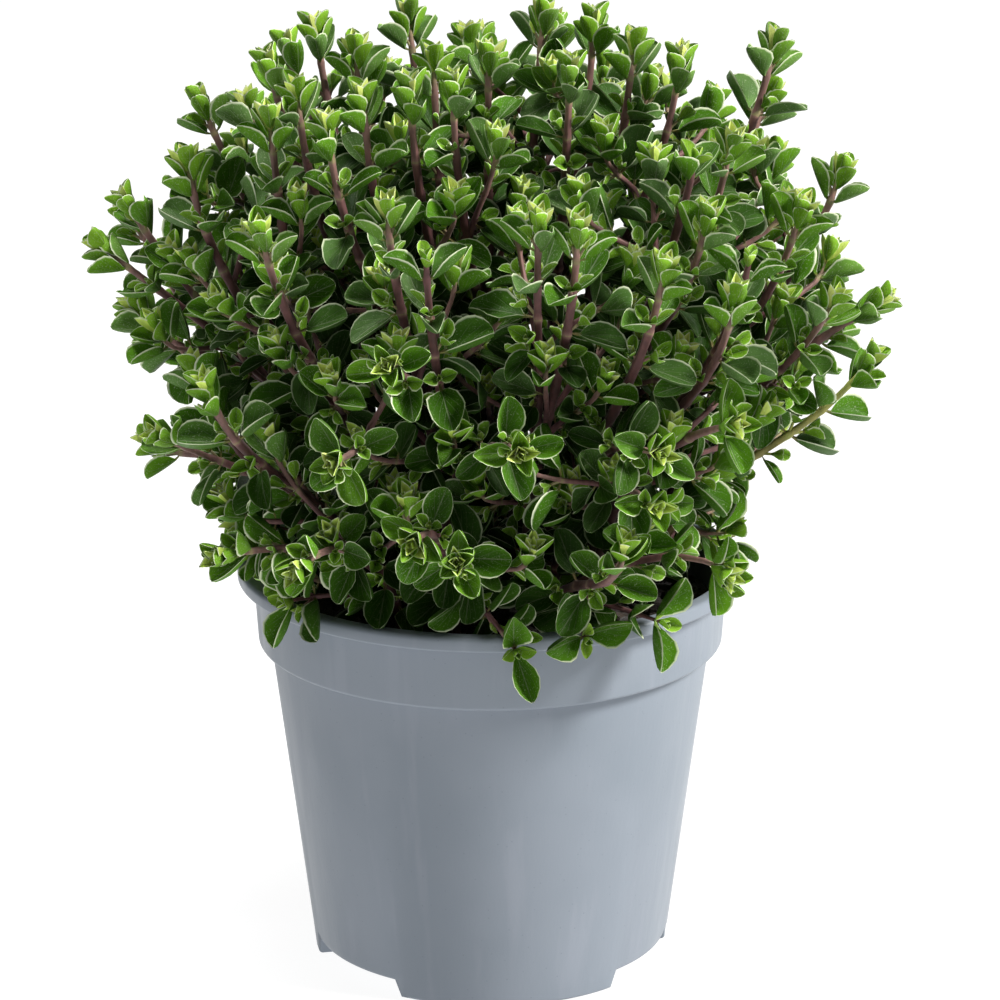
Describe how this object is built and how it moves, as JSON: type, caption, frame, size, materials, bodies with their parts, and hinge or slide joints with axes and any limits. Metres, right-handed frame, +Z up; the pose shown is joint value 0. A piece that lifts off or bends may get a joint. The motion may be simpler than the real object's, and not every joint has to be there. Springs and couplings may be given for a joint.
{
  "type": "potted marjoram",
  "caption": "Bushy herb with paired oval leaves on square stems, rooted in dark peat in a tapered plastic nursery pot with low feet.",
  "frame": {"origin": "on the pot's axis, on the surface that its three feet stand on", "axes": "+Z up, -Y to the front, +X to the right"},
  "size_m": [0.2051, 0.2037, 0.2512],
  "materials": {
    "pot_plastic": "smooth satin injection-moulded plastic, blue-grey",
    "peat": "moist black-brown peat, rough",
    "leaf_green": "soft matt leaf green with a pale downy margin, on purple-brown stems"
  },
  "bodies": {
    "root": {"pot": "pot_plastic", "soil": "peat", "leafy_stem_01": "leaf_green", "leafy_stem_02": "leaf_green", "leafy_stem_03": "leaf_green", "leafy_stem_04": "leaf_green", "leafy_stem_05": "leaf_green", "leafy_stem_06": "leaf_green", "leafy_stem_07": "leaf_green", "leafy_stem_08": "leaf_green", "leafy_stem_09": "leaf_green", "leafy_stem_10": "leaf_green", "leafy_stem_11": "leaf_green", "leafy_stem_12": "leaf_green", "leafy_stem_13": "leaf_green", "leafy_stem_14": "leaf_green", "leafy_stem_15": "leaf_green", "leafy_stem_16": "leaf_green", "leafy_stem_17": "leaf_green", "leafy_stem_18": "leaf_green", "leafy_stem_19": "leaf_green", "leafy_stem_20": "leaf_green", "leafy_stem_21": "leaf_green", "leafy_stem_22": "leaf_green", "leafy_stem_23": "leaf_green", "leafy_stem_24": "leaf_green", "leafy_stem_25": "leaf_green", "leafy_stem_26": "leaf_green", "leafy_stem_27": "leaf_green", "leafy_stem_28": "leaf_green", "leafy_stem_29": "leaf_green", "leafy_stem_30": "leaf_green", "leafy_stem_31": "leaf_green", "leafy_stem_32": "leaf_green", "leafy_stem_33": "leaf_green", "leafy_stem_34": "leaf_green", "leafy_stem_35": "leaf_green"}
  },
  "joints": []
}
